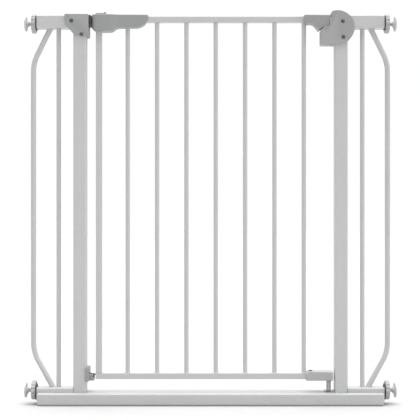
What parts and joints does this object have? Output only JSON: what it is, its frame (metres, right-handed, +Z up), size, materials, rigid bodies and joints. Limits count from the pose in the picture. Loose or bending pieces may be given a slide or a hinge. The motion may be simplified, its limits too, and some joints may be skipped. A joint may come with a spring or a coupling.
{
  "type": "stair safety gate",
  "caption": "Pressure-fit stair safety gate with a swinging barred door, hinge cover, latch handle and housing, lower catch pin and screw-out wall pads.",
  "frame": {"origin": "floor level, at the middle of the gate in width and depth", "axes": "+X to the latch side along the gate, -Y to the viewer in front, +Z up"},
  "size_m": [0.73, 0.05, 0.7727],
  "materials": {
    "powder_coat": "light grey satin powder coat with a fine orange-peel",
    "housing_plastic": "mid grey fine-textured moulding",
    "nut_plastic": "light grey moulded plastic",
    "dark_plastic": "dark grey moulded plastic",
    "zinc_steel": "bright zinc plated steel",
    "black_screw": "black oxide steel",
    "pad_rubber": "pale soft rubber"
  },
  "bodies": {
    "frame": {"base_rail": "powder_coat", "post_left": "powder_coat", "post_right": "powder_coat", "stub_top_left": "powder_coat", "stub_top_right": "powder_coat", "stub_bottom_left": "powder_coat", "stub_bottom_right": "powder_coat", "side_bar_left": "powder_coat", "side_bar_right": "powder_coat", "outer_bar_left": "powder_coat", "outer_bar_right": "powder_coat", "hinge_casing_front": "housing_plastic", "hinge_casing_rear": "housing_plastic", "casing_screw_upper": "black_screw", "casing_screw_lower": "black_screw", "hinge_arm": "dark_plastic", "latch_housing_front": "housing_plastic", "latch_housing_rear": "housing_plastic", "housing_screw_upper": "black_screw", "housing_screw_lower": "black_screw", "lower_hinge_bracket": "housing_plastic", "lower_hinge_pin": "zinc_steel", "catch_plate": "zinc_steel", "end_plug_top_left": "dark_plastic", "end_plug_top_right": "dark_plastic", "end_plug_bottom_left": "dark_plastic", "end_plug_bottom_right": "dark_plastic"},
    "hinge_swivel": {"hinge_pin": "zinc_steel"},
    "door": {"door_top_rail": "powder_coat", "door_bottom_rail": "powder_coat", "door_upright": "powder_coat", "door_bar_1": "powder_coat", "door_bar_2": "powder_coat", "door_bar_3": "powder_coat", "door_bar_4": "powder_coat", "door_bar_5": "powder_coat", "door_bar_6": "powder_coat", "door_bar_7": "powder_coat", "hinge_cover_front": "housing_plastic", "hinge_cover_rear": "housing_plastic", "handle_front": "housing_plastic", "handle_rear": "housing_plastic", "lower_latch_bracket": "nut_plastic", "lower_pin_bush": "dark_plastic"},
    "stay_open": {"stay_open_switch": "housing_plastic"},
    "bolt": {"thumb_slider": "dark_plastic", "top_bolt": "zinc_steel"},
    "drop_pin": {"lower_pin": "powder_coat"},
    "nut_top_left": {"adjusting_nut_top_left": "nut_plastic"},
    "spindle_top_left": {"threaded_rod_top_left": "zinc_steel", "wall_pad_top_left": "pad_rubber"},
    "nut_top_right": {"adjusting_nut_top_right": "nut_plastic"},
    "spindle_top_right": {"threaded_rod_top_right": "zinc_steel", "wall_pad_top_right": "pad_rubber"},
    "nut_bottom_left": {"adjusting_nut_bottom_left": "nut_plastic"},
    "spindle_bottom_left": {"threaded_rod_bottom_left": "zinc_steel", "wall_pad_bottom_left": "pad_rubber"},
    "nut_bottom_right": {"adjusting_nut_bottom_right": "nut_plastic"},
    "spindle_bottom_right": {"threaded_rod_bottom_right": "zinc_steel", "wall_pad_bottom_right": "pad_rubber"}
  },
  "joints": [
    {"name": "door_swing", "type": "hinge", "parent": "frame", "child": "hinge_swivel", "pos_m": [-0.2195, 0, 0.05], "axis": [0, 0, 1], "range_deg": [0, 90]},
    {"name": "door_lift", "type": "slide", "parent": "hinge_swivel", "child": "door", "axis": [0, 0, 1], "range_m": [0, 0.006]},
    {"name": "bolt_slide", "type": "slide", "parent": "door", "child": "bolt", "axis": [1, 0, 0], "range_m": [0, 0.009]},
    {"name": "pin_drop", "type": "slide", "parent": "door", "child": "drop_pin", "axis": [0, 0, -1], "range_m": [0, 0.0055]},
    {"name": "stay_open_slide", "type": "slide", "parent": "door", "child": "stay_open", "axis": [1, 0, 0], "range_m": [0, 0.004]},
    {"name": "nut_turn_top_left", "type": "hinge", "parent": "frame", "child": "nut_top_left", "pos_m": [-0.347, 0, 0.7483], "axis": [-1, 0, 0], "range_deg": [0, 2885]},
    {"name": "spindle_feed_top_left", "type": "slide", "parent": "frame", "child": "spindle_top_left", "axis": [-1, 0, 0], "range_m": [0, 0.01]},
    {"name": "nut_turn_top_right", "type": "hinge", "parent": "frame", "child": "nut_top_right", "pos_m": [0.347, 0, 0.7483], "axis": [1, 0, 0], "range_deg": [0, 2885]},
    {"name": "spindle_feed_top_right", "type": "slide", "parent": "frame", "child": "spindle_top_right", "axis": [1, 0, 0], "range_m": [0, 0.01]},
    {"name": "nut_turn_bottom_left", "type": "hinge", "parent": "frame", "child": "nut_bottom_left", "pos_m": [-0.347, 0, 0.0278], "axis": [-1, 0, 0], "range_deg": [0, 2885]},
    {"name": "spindle_feed_bottom_left", "type": "slide", "parent": "frame", "child": "spindle_bottom_left", "axis": [-1, 0, 0], "range_m": [0, 0.01]},
    {"name": "nut_turn_bottom_right", "type": "hinge", "parent": "frame", "child": "nut_bottom_right", "pos_m": [0.347, 0, 0.0278], "axis": [1, 0, 0], "range_deg": [0, 2885]},
    {"name": "spindle_feed_bottom_right", "type": "slide", "parent": "frame", "child": "spindle_bottom_right", "axis": [1, 0, 0], "range_m": [0, 0.01]}
  ],
  "couplings": [
    {"joint": "nut_turn_top_left", "follows": "spindle_feed_top_left", "rad_per_m": 5026.5},
    {"joint": "nut_turn_top_right", "follows": "spindle_feed_top_right", "rad_per_m": 5026.5},
    {"joint": "nut_turn_bottom_left", "follows": "spindle_feed_bottom_left", "rad_per_m": 5026.5},
    {"joint": "nut_turn_bottom_right", "follows": "spindle_feed_bottom_right", "rad_per_m": 5026.5}
  ]
}
